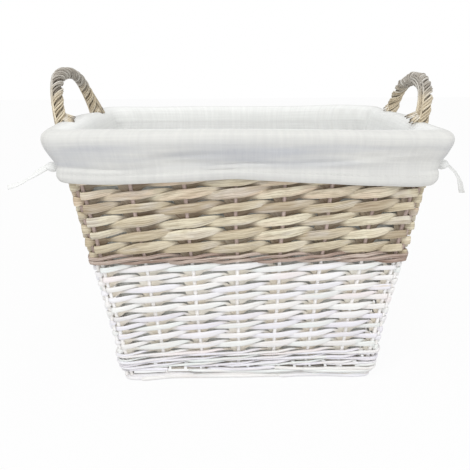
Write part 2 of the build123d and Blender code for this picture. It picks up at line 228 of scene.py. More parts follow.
# %% Finishes
class Finish:
    """One material, or the world, and the nodes that make it."""

    def __init__(self, name, kind="materials"):
        self.block = getattr(bpy.data, kind).new(name)
        self.block.use_nodes = True
        self.tree = self.block.node_tree
        self.surface = self.tree.nodes.get("Principled BSDF")

    def node(self, kind, settings=None, inputs=None, output=0):
        """Any node: its settings first, then the values or links of its sockets."""
        node = self.tree.nodes.new(kind)
        for key, value in (settings or {}).items():
            if key == "stops":
                ramp = node.color_ramp
                while len(ramp.elements) < len(value):
                    ramp.elements.new(0.5)
                for stop, (position, *colour) in zip(ramp.elements, value):
                    stop.position = position
                    stop.color = paint(*colour)
            else:
                setattr(node, key, value)
        for key, value in (inputs or {}).items():
            self.feed(node.inputs[key], value)
        return Value(self, node.outputs[output])

    def feed(self, socket, value):
        if isinstance(value, Value):
            self.tree.links.new(value.socket, socket)
        else:
            socket.default_value = value

    def maths(self, operation, *values):
        return self.node("ShaderNodeMath", {"operation": operation}, dict(enumerate(values)))

    def attribute(self, name, output="Fac"):
        """What note() kept on the piece, or with "place" where its points are."""
        if name == "place":
            return self.node("ShaderNodeTexCoord", output="Object")
        return self.node("ShaderNodeAttribute", {"attribute_name": name}, output=output)

    def axis(self, name, letter):
        return self.node("ShaderNodeSeparateXYZ", None, {0: self.attribute(name, "Vector")}, letter)

    def noise(self, name, stretch, detail=3.0, rough=0.55):
        """Noise over a vector attribute that is stretched by three numbers."""
        vector = self.node("ShaderNodeVectorMath", {"operation": "MULTIPLY"},
                           {0: self.attribute(name, "Vector"), 1: stretch})
        return self.node("ShaderNodeTexNoise", {"normalize": True},
                         {"Vector": vector, "Scale": 1.0, "Detail": detail, "Roughness": rough})

    def between(self, value, low, high):
        """0 below low, 1 above high, and smooth between them."""
        return self.node("ShaderNodeMapRange", {"interpolation_type": "SMOOTHSTEP"},
                         {"Value": value, "From Min": low, "From Max": high})

    def mix(self, share, first, second):
        first, second = (paint(*c) if isinstance(c, tuple) else c for c in (first, second))
        return self.node("ShaderNodeMix", {"data_type": "RGBA"}, {0: share, 6: first, 7: second}, output=2)

    def tinted(self, first, second, mask, low, high, share=1.0):
        """The first colour, with a share of the second where the mask goes from low to high."""
        return self.mix(self.between(mask, low, high) * share, first, second)

    def ramp(self, value, *stops):
        return self.node("ShaderNodeValToRGB", {"stops": stops}, {"Fac": value})

    def relief(self, height, distance, strength):
        """Raises the surface by the height times the distance, in metres."""
        inputs = {"Height": height, "Distance": distance, "Strength": strength}
        self.feed(self.surface.inputs["Normal"], self.node("ShaderNodeBump", None, inputs))

    def paint_with(self, colour, roughness):
        self.feed(self.surface.inputs["Base Color"], colour)
        self.feed(self.surface.inputs["Roughness"], roughness)
        print("finish:", self.block.name, "with", len(self.tree.nodes), "nodes")
        return self.block

    def shown(self, shader):
        """Makes the shader what the material or the world shows."""
        output = next(node for node in self.tree.nodes if node.type.startswith("OUTPUT"))
        self.feed(output.inputs["Surface"], shader)
        return self.block

# %% [markdown]
# ## Natural willow
#
# The upper weave is split willow that was never painted. Each rod has its own tone, from khaki to
# straw and now and then pinkish, with fine streaks along the grain, and it pales towards the tip of
# each leaf, partly where the split side turns outwards and partly as a painted highlight. Behind the
# stakes it is darkened to brown as painted shade. The streaks follow the rods, so they read how far
# along and round a rod a point is, which each rod carries.

# %% Natural willow
def grained(f, fine=900.0, along=22.0):
    """Streaks along a rod, from 0 to 1, and slow blotches."""
    return f.noise("grain", (along, fine, 7.0), 4.0, 0.6), f.noise("grain", (14.0, 40.0, 3.0), 2.0)


def natural_willow():
    f = Finish("natural_willow")
    streaks, blotches = grained(f)
    mottle = f.noise("grain", (70.0, 160.0, 5.0))
    greying = f.noise("grain", (18.0, 60.0, 9.0), 2.0)
    base = f.ramp(f.attribute("tone") + (blotches - 0.5) * 0.6,
                  (0.0, 176, 160, 136), (0.22, 200, 187, 160), (0.48, 216, 206, 180),
                  (0.74, 228, 221, 197), (0.9, 222, 202, 178), (1.0, 194, 172, 148))
    greyed = f.tinted(base, (204, 198, 190), greying, 0.50, 0.68, 0.6)
    mottled = f.tinted(greyed, (180, 166, 136), mottle, 0.56, 0.38, 0.35)
    dark = f.tinted(mottled, (122, 100, 74), streaks, 0.56, 0.36, 0.55)
    light = f.tinted(dark, (236, 228, 206), streaks, 0.54, 0.74, 0.5)
    # pale tips: partly the split side, partly a painted highlight
    pale = f.tinted(light, (234, 227, 210), blotches, 0.3, 0.7, f.attribute("tip") * 0.7)
    # painted shade: the rods behind the stakes are darkened to brown
    colour = f.tinted(pale, (104, 80, 60), f.attribute("reach"), -0.0005, -0.0030, 0.62)
    f.relief(streaks + blotches * 0.6 + mottle * 0.4, 0.0007, 0.75)
    return f.paint_with(colour, 0.5 + 0.25 * streaks)


natural = natural_willow()

# %% [markdown]
# ## White willow
#
# The lower weave was painted on the woven basket, so the paint lies on what faces out, and the
# inner sides of the rods, seen through the gaps, stay beige. How far a point is from the plane of
# the stakes tells the two apart. The white is thin: it is tinted a little from rod to rod, and the
# grain shows through.

# %% White willow
def painted_willow():
    f = Finish("painted_willow")
    streaks, blotches = grained(f, fine=700.0)
    white = f.ramp(f.attribute("tone") + (blotches - 0.5) * 0.5,
                   (0.0, 232, 230, 238), (0.3, 236, 236, 240), (0.55, 238, 237, 235),
                   (0.8, 232, 237, 235), (1.0, 239, 232, 232))
    thin = f.tinted(white, (226, 219, 214), streaks, 0.56, 0.36, 0.5)
    worn = f.tinted(thin, (214, 198, 172), blotches * 0.5 + streaks * 0.5, 0.40, 0.30, 0.7)
    bare = f.tinted((244, 239, 226), (234, 223, 202), blotches, 0.35, 0.65)
    reach = f.attribute("reach") + (blotches - 0.5) * 0.002
    f.relief(streaks + blotches * 0.5, 0.0005, 0.6)
    return f.paint_with(f.tinted(worn, bare, reach, -0.0005, -0.0030, 0.8), 0.55 + 0.2 * streaks)


painted = painted_willow()

# %% [markdown]
# ## Stakes and wale
#
# The stakes are whole sticks with their bark on, mauve-brown where they show between the natural
# rows, and painted with the rest below the wale. The wale's three thin rods are pinkish brown.

# %% Stakes and wale
wale_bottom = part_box("wale_rods_front")[0][2]


def stake_willow():
    f = Finish("stake_willow")
    streaks = f.noise("place", (700.0, 700.0, 30.0), 4.0)
    patches = f.noise("place", (60.0, 60.0, 18.0), 2.0)
    bark = f.ramp(streaks * 0.6 + patches * 0.5,
                  (0.3, 150, 130, 122), (0.55, 188, 168, 160), (0.8, 212, 198, 188))
    white = f.tinted((248, 247, 246), (224, 214, 202), streaks, 0.56, 0.38, 0.4)
    height = f.axis("place", "Z") + (patches - 0.5) * 0.006
    f.relief(streaks, 0.0005, 0.6)
    return f.paint_with(f.tinted(white, bark, height, wale_bottom + 0.001, wale_bottom + 0.005),
                        0.6 + 0.2 * streaks)


def wale_willow():
    f = Finish("wale_willow")
    streaks, blotches = grained(f, fine=1100.0)
    base = f.ramp(f.attribute("tone") * 0.6 + blotches * 0.5,
                  (0.15, 148, 127, 114), (0.5, 180, 160, 148), (0.85, 206, 192, 180))
    flecks = f.tinted(base, (236, 230, 224), f.noise("grain", (120.0, 400.0, 3.0)), 0.62, 0.74, 0.7)
    f.relief(streaks, 0.0005, 0.6)
    return f.paint_with(f.tinted(flecks, (112, 84, 68), streaks, 0.58, 0.38, 0.8), 0.5 + 0.2 * streaks)


stake_finish = stake_willow()
wale_finish = wale_willow()

# %% [markdown]
# ## Handle willow
#
# The handles are wound from fine whole rods. Low down they are tan and pinkish, and over the top of
# the arch, where hands and weather wear them, they are grey. `dark` is painted shade in the grooves
# and on the core deep inside them, the own dark of the rods' cut tips, and below 0 the pale split ends.

# %% Handle willow
def handle_willow():
    f = Finish("handle_willow")
    streaks, blotches = grained(f, fine=800.0, along=30.0)
    tone = f.attribute("tone") * 0.5
    dark = f.attribute("dark")
    tan = f.ramp(tone + 0.15 + blotches * 0.35,
                 (0.1, 166, 149, 122), (0.35, 198, 183, 156), (0.6, 220, 207, 181), (0.9, 230, 219, 196))
    grey = f.ramp(tone + 0.1 + streaks * 0.5,
                  (0.2, 138, 131, 122), (0.5, 176, 170, 160), (0.85, 210, 206, 198))
    mixed = f.tinted(tan, grey, f.attribute("worn") + (blotches - 0.5) * 0.5, 0.45, 0.85)
    split = f.tinted(mixed, (236, 232, 222), dark, -0.1, -0.5, 0.6)
    # painted shade in the grooves, and the cut tips' own dark
    shaded = f.tinted(split, (84, 74, 64), dark, 0.0, 1.0)
    f.relief(streaks + blotches * 0.6, 0.0006, 0.8)
    return f.paint_with(f.tinted(shaded, (104, 88, 68), streaks, 0.54, 0.36, 0.5), 0.52 + 0.25 * streaks)


handle_finish = handle_willow()

# %% [markdown]
# ## Cotton
#
# The liner is plain woven cotton. Its yarns are uneven, so thicker ones, the slubs, show as faint
# lines both along and across. The cloth carries its own coordinates in metres, round the basket
# and along the fold, and the hem's stitching is a row of short dents set by the same numbers. What
# faces out is painted a little greyer as shade than what faces in, the folds of the cuff's waist
# get a bluish painted shade, and the groove along the hem a slight painted shade.

# %% Cotton
stitch_step = 0.0034
yarn_step = 0.0008


def cotton(name, hem=None, thin=0.0):
    """Woven cotton. hem is how far along it its stitching lies, and thin how much light comes through."""
    f = Finish(name)
    for socket, value in (("Subsurface Weight", thin), ("Subsurface Radius", (1.0, 1.0, 1.0)),
                          ("Subsurface Scale", 0.003), ("Sheen Weight", 0.15)):
        f.surface.inputs[socket].default_value = value
    along = f.axis("cloth", "X")
    down = f.axis("cloth", "Y")

    def crossed(fine, coarse, detail, rough):
        """Uneven yarns along the cloth and across it."""
        return (f.noise("cloth", (fine, coarse, 1.0), detail, rough)
                + f.noise("cloth", (coarse, fine, 1.0), detail, rough))

    def wave(value, step):
        return f.maths("SINE", value * (2 * pi / step))

    yarns = crossed(900.0, 26.0, 3.0, 0.6)
    slubs = crossed(420.0, 16.0, 2.0, 0.55) * 0.5

    def slubbed(dark, light):
        return f.tinted(dark, light, slubs, 0.38, 0.64)

    tint = slubbed((232, 233, 231), (238, 239, 237))
    # painted shade: where the bag faces out it is a little greyer than where it faces in
    if thin:
        tint = f.mix(f.attribute("outer"), tint, slubbed((211, 212, 209), (218, 219, 216)))
    height = yarns * 0.6 + slubs + wave(along, yarn_step) * wave(down, yarn_step) * 0.12
    if hem is not None:
        waist = f.between(down, 0.048, 0.066) * f.between(down, 0.096, 0.080)
        # painted shade: the cuff's outer side is greyer, and bluish in the folds of its waist
        painted_outer_shade = f.tinted(slubbed((206, 206, 203), (213, 213, 209)), (176, 179, 186),
                        f.noise("cloth", (14.0, 46.0, 1.0), 2.0), 0.30, 0.70, waist * 0.75)
        tint = f.tinted(tint, painted_outer_shade, down, 0.024, 0.040)
    colour = f.tinted(tint, (212, 212, 210), yarns * 0.5, 0.56, 0.44, 0.18)
    if hem is not None:
        apart = f.maths("ABSOLUTE", down - hem)
        stitch = f.between(apart, 0.0009, 0.0003) * f.between(wave(along, stitch_step), -0.55, -0.15)
        groove = f.between(apart, 0.0022, 0.0)
        height = height + stitch * 0.8 - groove * 0.9
        # painted shade: the cloth is a little darker in the groove along the hem
        colour = f.mix(groove * 0.10, colour, (190, 190, 186))
    f.relief(height, 0.00035, 0.8)
    return f.paint_with(colour, 0.9)


bag_cotton = cotton("liner_cotton", thin=0.75)
tie_cotton = cotton("tie_cotton")
for piece in ties:
    piece.data.materials.append(tie_cotton)

# %% [markdown]
# ## Places on the basket
#
# Every rod, stake and fold of the liner is placed by three numbers: how far round the basket it is,
# how far out from the plane of the stakes, and how high. The walls lean, so their size at a height
# is read from the frame's stakes, and so is how far the corners are drawn in or pushed out.

# %% Places on the basket
stake_radius = 0.003
bark_radius = 0.0026  # the stakes' own, a little less than the room they take
post_radius = 0.0024
post_spacing = 0.0078
corner_round = 0.009  # plan radius of the stakes' plane round the corner posts
corner_start = 0.66  # the corners bulge from this share of a half wall
walls = ("front", "right", "back", "left")

front_low, front_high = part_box("stakes_front")
right_low, right_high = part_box("stakes_right")
stake_foot, stake_head = front_low[2], front_high[2]
mid_height = (stake_foot + stake_head) / 2
lean_front = (front_high[1] - front_low[1] - 2 * stake_radius) / (stake_head - stake_foot)
lean_end = (right_high[0] - right_low[0] - 2 * stake_radius) / (stake_head - stake_foot)


def capped(share):
    """A share that stays between 0 and 1."""
    return np.clip(share, 0, 1)


def half_width(z):
    return stake_radius - front_high[1] + lean_front * (z - stake_foot)


def half_length(z):
    return right_low[0] + stake_radius + lean_end * (z - stake_foot)


def half_wall(number, z):
    """Half of a wall's length at a height. The front is wall 0, and the right end wall 1."""
    return np.where(np.asarray(number) % 2 == 0, half_length(z), half_width(z))


def drawn(node, reach):
    """The height of a front piece's top, and how far its corner is drawn in there."""
    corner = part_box(node)[1]
    return corner[2], half_length(corner[2]) + reach - corner[0]


foot_top_z, foot_draw = drawn("foot_rod_front", 0.0065)
rails_top_z, rim_draw = drawn("top_rails_front", stake_radius + 0.0003 + 0.0036)


def corner_draw(z):
    return foot_draw + (rim_draw - foot_draw) * (z - foot_top_z) / (rails_top_z - foot_top_z)

# %% Round the basket
def place(q, n, z, corner, arc):
    """Points at q walls round from the front left corner, n outwards from the stakes, at height z.

    corner is the plan radius of the surface there, and arc the share of a half wall that it takes.
    """
    q, n, z, corner, arc = np.broadcast_arrays(*(np.asarray(a, float) for a in (q, n, z, corner, arc)))
    wall = np.floor(q) % 4
    across = half_wall(wall, z) + n
    away = half_wall(wall + 1, z) + n
    s = 2 * (q - np.floor(q)) - 1
    turn = capped((np.abs(s) - 1 + arc) / arc) * pi / 4
    a = np.sign(s) * (np.minimum(np.abs(s) / (1 - arc), 1) * (across - corner) + corner * np.sin(turn))
    b = away - corner + corner * np.cos(turn)
    c, s = np.cos(wall * pi / 2), np.sin(wall * pi / 2)
    return np.stack([a * c + b * s, a * s - b * c, z], axis=-1)


def on_stakes(q, n, z):
    """A place measured from the plane of the stakes, which follows the posts round the corners.

    The broad rods of the upper rows can't turn so sharply, so outside the posts they stand off.
    """
    q, n, z = np.broadcast_arrays(*(np.asarray(a, float) for a in (q, n, z)))
    share = np.abs(2 * (q - np.floor(q)) - 1)
    out = capped((share - corner_start) / (1 - corner_start))
    broad = 0.0052 * capped((z - 0.13) / 0.07) * capped(n / 0.004)
    bulge = out * ((1 - cos(pi / 4)) * corner_round - corner_draw(z)) + broad * out ** 3
    arc = (corner_round + 1.3 * broad) / half_wall(np.floor(q), z)
    return place(q, n + bulge, z, corner_round + n + 1.6 * broad, arc)

# %% Stations
def stake_places(number):
    """How far round each stake of a wall is, from the tops of the frame's stakes."""
    points = points_of(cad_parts["stakes_" + walls[number]].data)
    tops = points[points[:, 2] > stake_head - 0.0005]
    turn = number * pi / 2
    u = np.sort(tops[:, 0] * cos(turn) + tops[:, 1] * sin(turn))
    groups = np.split(u, np.where(np.diff(u) > 0.01)[0] + 1)
    return [number + float(1 + group.mean() / half_wall(number, stake_head)) / 2 for group in groups]


def post_places(number):
    """The three posts at the corner before a wall: on the wall before, at the corner, and on this one."""
    step = corner_round + post_spacing - corner_round * pi / 4
    before, after = (float(step / half_wall(wall, mid_height) / 2) for wall in (number - 1, number))
    return [(number - before) % 4, float(number), number + after]


stake_marks = [q for number in range(4) for q in stake_places(number)]
post_marks = [q for number in range(4) for q in post_places(number)]
stations = sorted(stake_marks + post_marks)
print("stations:", len(stations), "of which", len(post_marks), "are corner posts")

# %% [markdown]
# ## Rods
#
# A rod could be extruded along its way face by face. A curve with a section swept along it is
# quicker to shape, because its place, size and twist are set point by point. All the rods of a
# band are splines of one curve, which is then converted to a mesh. Each ring of the mesh keeps its
# order, so every point can be told how far along and round its rod it lies.

# %% Rods
rng = np.random.default_rng(11)


def circle(corners):
    turn = pi + 2 * pi * (np.arange(corners) + 0.5) / corners
    return np.cos(turn), np.sin(turn)


def split_section(width, height, corners):
    """The outline of a split rod: crowned outside, flatter inside, with thin edges."""
    a, b = circle(corners)
    x = np.where(a > 0, 0.58 * np.abs(a) ** 0.6, -0.42 * np.abs(a) ** 0.45) * width
    return np.stack([x, np.sign(b) * np.abs(b) ** 0.9 * height / 2], axis=1)


def round_section(across, corners=10):
    return np.stack(circle(corners), axis=1) * across / 2


def select_only(piece):
    bpy.ops.object.select_all(action="DESELECT")
    piece.select_set(True)
    bpy.context.view_layer.objects.active = piece


def edited(piece, operator, **settings):
    """Runs one of edit mode's operators on the whole of a piece."""
    select_only(piece)
    bpy.ops.object.mode_set(mode="EDIT")
    bpy.ops.mesh.select_all(action="SELECT")
    operator(**settings)
    bpy.ops.object.mode_set(mode="OBJECT")


def swept(name, outline, paths, sizes, tilts, closed):
    """One mesh of rods swept along point paths, its points ordered rod by rod and ring by ring."""
    section = curved(name + "_section", "2D")
    spline_in(section, "POLY", np.c_[outline, np.zeros(len(outline))]).use_cyclic_u = True
    piece = curved(name)
    piece.data.twist_mode = "Z_UP"
    piece.data.bevel_mode = "OBJECT"
    piece.data.bevel_object = section
    for path, size, tilt in zip(paths, sizes, tilts):
        spline_in(piece, "POLY", path, radius=size, tilt=tilt).use_cyclic_u = closed
    select_only(piece)
    bpy.ops.object.convert(target="MESH")
    bpy.data.objects.remove(section)
    if not closed:
        edited(piece, bpy.ops.mesh.fill_holes, sides=0)
    return piece

# %% What every piece gets
def tidy(piece, angle):
    """Faces outwards, shaded smooth but for sharp edges."""
    edited(piece, bpy.ops.mesh.normals_make_consistent, inside=False)
    bpy.ops.object.shade_smooth_by_angle(angle=radians(angle))
    piece.select_set(False)


def note_grain(piece, outline, paths, tones, **rings):
    """Tells a piece's points how far along and round their rod they are, and each ring's numbers."""
    loop = np.vstack([outline, outline[:1]])
    girth = np.r_[0, np.cumsum(np.linalg.norm(np.diff(loop, axis=0), axis=1))][:-1]
    grain = []
    for number, path in enumerate(paths):
        steps = np.linalg.norm(np.diff(path, axis=0), axis=1)
        along = np.r_[0, np.cumsum(steps)] + 3.7 * number
        rows = np.broadcast_arrays(along[:, None], girth, 1.3 * number)
        grain.append(np.stack(rows, axis=-1).reshape(-1, 3))
    count = len(piece.data.vertices)
    note(piece, "grain", np.concatenate(grain)[:count])
    for name, values in dict(rings, tone=tones).items():
        note(piece, name, np.repeat(np.concatenate(values), len(girth))[:count])


def finished(piece, nodes, finish, body="basket"):
    """The last things that every piece gets: its finish, its body, and the frame's nodes it stands for."""
    piece.data.materials.clear()
    piece.data.materials.append(finish)
    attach(piece, body)
    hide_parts(*nodes)
    print(piece.name, "has", len(piece.data.polygons), "faces")


def rodwork(name, nodes, outline, paths, sizes, finish, tones=None, tilts=None,
            closed=True, angle=60, **rings):
    """A piece made of rods. Where the rods have tilts, they are a band's, and lean with the walls."""
    piece = swept(name, outline, paths, sizes, tilts or [0.0] * len(paths), closed)
    if tilts:
        leant(piece, paths)
    if tones:
        note_grain(piece, outline, paths, tones, **rings)
    tidy(piece, angle)
    finished(piece, nodes, finish)


def pieced(count, longest):
    """Tones for a rod's rings. A rod is pieced from several, so its tone changes now and then."""
    tones = np.empty(count)
    at = 0
    while at < count:
        step = int(rng.uniform(0.5, 1.0) * longest)
        tones[at:at + step] = rng.random()
        at += step
    return tones

# %% [markdown]
# ## Pairing
#
# Each row of the walls is two split rods. One passes in front of a stake and the other behind it,
# and between the stakes they change places, the one that leaves the front going over the one that
# comes to it. The rod behind a stake lies lower than the one in front of it, so it fills the gap
# between the rows. Each rod's way is worked out from stake to stake: how far out it is, how high,
# how tall it stands, and how it is twisted. A hand made every leaf a little different, so each has
# its own height, level, reach and twist.

# %% Pairing
stake_flat = 0.0024  # how far a rod runs straight past the middle of a stake
post_flat = 0.0012
back_drop = 0.56  # of a row: how far below the front rod the back one passes a stake
tip_rise = 0.26  # of a row: how far a rod rises before it goes behind
narrowest = 0.74  # of the way to the next stake: where a rod is narrowest


def passage(q0, q1, flat):
    """Steps between two stations: their q, and the share of the way from the first to the second."""
    length = (q1 - q0) * 2 * half_wall(int(q0), mid_height)
    count = 6 if length < 0.015 else 13
    share = np.arange(count) / count
    flats = [flat(q) for q in (q0, q1)]
    x = capped((share * length - flats[0]) / (length - sum(flats)))
    return q0 + share * (q1 - q0), x


def ways(marks):
    """Each station's number, its q and the next one's, all the way round."""
    return enumerate(zip(marks, marks[1:] + [marks[0] + 4]))


def uneven(count, share):
    return share * rng.standard_normal(count).clip(-1.8, 1.8)

# %% A rod of pairing
def paired_rod(level, out, pitch, narrow, broad, rod):
    """One rod of a row, all the way round: its points, and for each its size, twist, reach and tip."""
    count = len(stations)
    tall, lift, proud = 1 + uneven(count, 0.09), uneven(count, 0.0006), 1 + uneven(count, 0.08)
    twist, crossing = uneven(count, 0.12), uneven(count, 0.03)
    wander = rng.uniform(0, 2 * pi, 3)
    at_post = np.array([q in post_marks for q in stations])
    at_corner = np.array([q % 1 == 0 for q in stations])
    tall = tall * np.where(at_post, 0.86, 1.0)
    proud = proud * np.where(at_post, 0.9, 1.0)
    before = np.where(at_corner, -0.46, 0.0) * pitch
    behind = np.where(at_corner, -0.04, -back_drop) * pitch
    high = tip_rise * pitch
    rings = []
    for k, (q0, q1) in ways(stations):
        j = (k + 1) % count
        q, x = passage(q0, q1, lambda mark: post_flat if mark % 4 in post_marks else stake_flat)
        leaves = (k + rod) % 2 == 0
        x = x if leaves else 1 - x
        near, far = (k, j) if leaves else (j, k)
        front = (1 + np.cos(pi * x ** (1.16 if leaves else 0.84))) / 2

        def eased(values):
            return values[near] * front + values[far] * (1 - front)

        if len(q) < 10:
            over = before[near] + (behind[far] - before[near]) * (1 - np.cos(pi * x)) / 2
        elif leaves:
            peak = 0.72 + crossing[k]
            fall = (1 - np.cos(pi * capped((x - peak) / (0.98 - peak)))) / 2
            over = high * np.sin(pi / 2 * capped(x / peak) ** 1.25) + (behind[far] - high) * fall
        else:
            over = behind[far] * x ** 1.1
        n = out * (proud[near] * front - 0.86 * proud[far] * (1 - front))
        slow = 0.0006 * np.sin(q * pi / 2 * 3 + wander[0]) + 0.0005 * np.sin(q * pi / 2 * 7 + wander[1])
        widening = np.exp(-((x - narrowest) / 0.14) ** 2)
        waist = np.where(x < narrowest, capped(x / narrowest) ** 2.4, widening)
        behind_it = capped((x - 0.72) / 0.20)
        size = eased(tall) * (1 - (1 - narrow) * waist) * (1 + (broad - 1) * behind_it)
        # how much a leaf pales towards its tip, partly its split side and partly a painted highlight
        tip = (capped(x * 1.5) if leaves else 0 * x) * rng.random() ** 1.2
        rings.append((on_stakes(q % 4, n, level + slow + over + eased(lift)), size, eased(twist), n, tip))
    return [np.concatenate(part) for part in zip(*rings)]

# %% Bands
def leant(piece, paths):
    """Leans each ring of a band with its wall."""
    centres = np.concatenate(paths)
    points = points_of(piece.data).reshape(len(centres), -1, 3)
    x, y, z = centres.T
    inside_end = (half_length(z) - np.abs(x) + 0.01).clip(0.0005)
    share = capped(0.5 + np.log((half_width(z) - np.abs(y) + 0.01).clip(0.0005) / inside_end) / 2)
    slope = np.stack([np.sign(x) * lean_end * share, np.sign(y) * lean_front * (1 - share), 0 * x], axis=1)
    points += (points[..., 2:] - centres[:, None, 2:]) * slope[:, None, :]
    piece.data.vertices.foreach_set("co", points.ravel())
    piece.data.update()


def around(prefix):
    return [f"{prefix}_{wall}" for wall in walls]


def heights(prefix):
    """The lowest and highest of a band's nodes."""
    boxes = [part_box(node) for node in around(prefix)]
    return min(box[0][2] for box in boxes), max(box[1][2] for box in boxes)


def band(name, nodes, outline, rods, longest, finish):
    """The rods of several rows as one piece. longest is the most rings that one tone lasts."""
    paths, sizes, tilts, reach, tips = zip(*rods)
    tones = [pieced(len(path), longest) for path in paths]
    rodwork(name, around(nodes), outline, paths, sizes, finish, tones, tilts, angle=50, reach=reach, tip=tips)


def paired_band(name, nodes, bottom, top, rows, height, thickness, narrow, broad, finish):
    """Every row of pairing between two heights. narrow and broad are shares of a rod's height."""
    pitch = (top - bottom) / rows
    out = bark_radius + 0.0002 + thickness / 2
    rods = [paired_rod(bottom + (row + 0.60) * pitch, out, pitch, narrow, broad, rod)
            for row in range(rows) for rod in (0, 1)]
    band(name, nodes, split_section(thickness, height, 12), rods, 150, finish)

# %% White and natural weave
rim_room = 0.0045  # the uppermost row reaches this far up under the top rails
wale_cover = 0.0035  # the lowest natural row reaches this far down over the wale
rails_bottom, rails_top = heights("foot_rails")
painted_top = heights("painted_rods")[1]
natural_bottom, natural_top = heights("natural_rods")
paired_band("painted_weave", "painted_rods", rails_top, painted_top, rows=9,
            height=0.0084, thickness=0.0023, narrow=0.40, broad=2.0, finish=painted)
paired_band("natural_weave", "natural_rods", natural_bottom - wale_cover, natural_top + rim_room, rows=6,
            height=0.0127, thickness=0.0029, narrow=0.38, broad=1.9, finish=natural)

# %% [markdown]
# ## Waling
#
# The thin pinkish line between the two colours, and the close rows of the foot and the rim, are
# waling: three rods, each passing in front of two stakes and behind the next. Two of them always
# lie in front, one above the other, which makes a nearly straight line. The three posts of a corner
# are taken together.

# %% Waling
corner_flat = 0.009
wale_stations = sorted([0.0, 1.0, 2.0, 3.0] + stake_marks)


def waled_rod(level, out, strand, rod, rough):
    """One of a wale's three rods, all the way round. rough is how far it strays."""
    count = len(wale_stations)
    proud, lift, thick = 1 + uneven(count, 0.10), uneven(count, rough), 1 + uneven(count, 0.12)
    rings = []
    for k, (q0, q1) in ways(wale_stations):
        j = (k + 1) % count
        q, x = passage(q0, q1, lambda mark: corner_flat if mark % 1 == 0 else stake_flat)
        ease = (1 + np.cos(pi * x)) / 2
        bump = 0.75 * strand * np.sin(pi * x)
        side, next_side, z = ((-1, 1, -strand / 2 * (1 - ease) - bump), (1, 1, strand / 2 * (1 - 2 * ease)),
                              (1, -1, strand / 2 * ease + bump))[(k + rod) % 3]
        n = out * (side * proud[k] * ease + next_side * proud[j] * (1 - ease))
        path = on_stakes(q % 4, n, level + z + lift[k] * ease + lift[j] * (1 - ease))
        rings.append((path, thick[k] * ease + thick[j] * (1 - ease), 0 * n, n, 0 * n))
    return [np.concatenate(part) for part in zip(*rings)]


def waled_band(name, nodes, bottom, top, rows, share, thickness, rough, finish):
    """Rows of waling between two heights. share is a rod's height, of a third of a row."""
    pitch = (top - bottom) / rows
    strand = pitch / 3
    out = stake_radius + 0.0003 + thickness / 2
    rods = [waled_rod(bottom + (row + 0.5) * pitch, out, strand, rod + row, rough)
            for row in range(rows) for rod in range(3)]
    band(name, nodes, split_section(thickness, strand * share, 10), rods, 120, finish)


waled_band("wale", "wale_rods", painted_top, natural_bottom, 1, 1.0, 0.0036, 0.0002, wale_finish)
waled_band("foot_wale", "foot_rails", rails_bottom, rails_top, 3, 1.12, 0.0034, 0.0005, painted)
rim_bottom, rim_top = heights("top_rails")
waled_band("rim_wale", "top_rails", rim_bottom + rim_room, rim_top, 3, 1.0, 0.0036, 0.0003, natural)

# %% [markdown]
# ## Stakes and corner posts
#
# The stakes stand in the wall from the foot rod to the border. They are whole sticks, a little
# crooked and uneven, so each is a round curve with a slight sway. Three thinner ones stand side by
# side at each corner.

# %% Stakes and corner posts
def standing(name, nodes, marks, radius):
    paths, sizes = [], []
    z = np.linspace(stake_foot, stake_head, 26)
    for q in marks:
        phase = rng.uniform(0, 2 * pi, 3)
        sway = 0.0006 * np.sin(z * 55 + phase[0]) / 0.4
        paths.append(on_stakes((q + sway) % 4, 0.0003 * np.sin(z * 75 + phase[1]), z))
        sizes.append(1 + 0.07 * np.sin(z * 40 + phase[2]))
    rodwork(name, nodes, round_section(2 * radius), paths, sizes, stake_finish, closed=False)


corner_nodes = [f"corner_post_{a}_{b}" for a, b in zip(walls, walls[1:] + walls[:1])]
standing("stakes", around("stakes"), stake_marks, bark_radius)
standing("corner_posts", corner_nodes, post_marks, post_radius)

# %% [markdown]
# ## Border and foot
#
# The border is three rods rolled round each other like a rope. The foot is stout rods laid end
# over end, each one's tapered tip tucked under the next one's butt, with thinner rods over them
# that leave short gaps.

# %% Border and foot
def rolled(name, nodes, n, z, radius, across, turn_length, finish):
    """Three rods rolled into a rope round the basket."""
    steps = 640
    q = np.arange(steps) / steps * 4
    turns = round(4 * (half_length(z) + half_width(z)) / turn_length)
    paths, sizes = [], []
    for rod in range(3):
        angle = 2 * pi * (turns * q / 4 + rod / 3)
        wander = radius * (1 + 0.06 * np.sin(2 * pi * q / 4 * 17 + rod))
        paths.append(place(q, n + wander * np.cos(angle), z + wander * np.sin(angle), 0.016, 0.08))
        sizes.append(1 + 0.05 * np.sin(2 * pi * q / 4 * 23 + 2 * rod))
    tones = [pieced(steps, 200) for _ in paths]
    rodwork(name, around(nodes), round_section(across), paths, sizes, finish, tones)


border_bottom, border_top = heights("border")
rolled("rolled_border", "border", 0.0033, (border_bottom + border_top) / 2,
       radius=0.0058, across=0.0102, turn_length=0.075, finish=natural)

# %% Foot
foot_courses = (  # outwards, height, thickness, rods, where the first begins, reach
    (0.0028, 0.0034, 0.0068, 7, 0.10, 0.004),
    (-0.0028, 0.0036, 0.0062, 6, 0.55, -0.002),
    (0.0008, 0.0062, 0.0052, 8, 0.30, 0.004),
)
gap_rods = (  # from, to, height, outwards
    (0.25, 0.80, 0.0128, 0.0042), (0.33, 0.62, 0.0170, 0.0040), (0.60, 1.14, 0.0160, 0.0052),
    (0.72, 1.06, 0.0124, 0.0044), (0.02, 0.17, 0.0168, 0.0040), (1.22, 2.2, 0.0140, 0.0040),
    (2.28, 3.15, 0.0136, 0.0040), (2.4, 2.9, 0.0174, 0.0042), (3.2, 4.03, 0.0142, 0.0040),
)


def tapered(share, butt, tip, least_butt, least_tip):
    """How a rod's ends narrow: the shares of its length that they take, and their least sizes."""
    return np.clip(share / butt, least_butt, 1) * np.clip((1 - share) / tip, least_tip, 1)


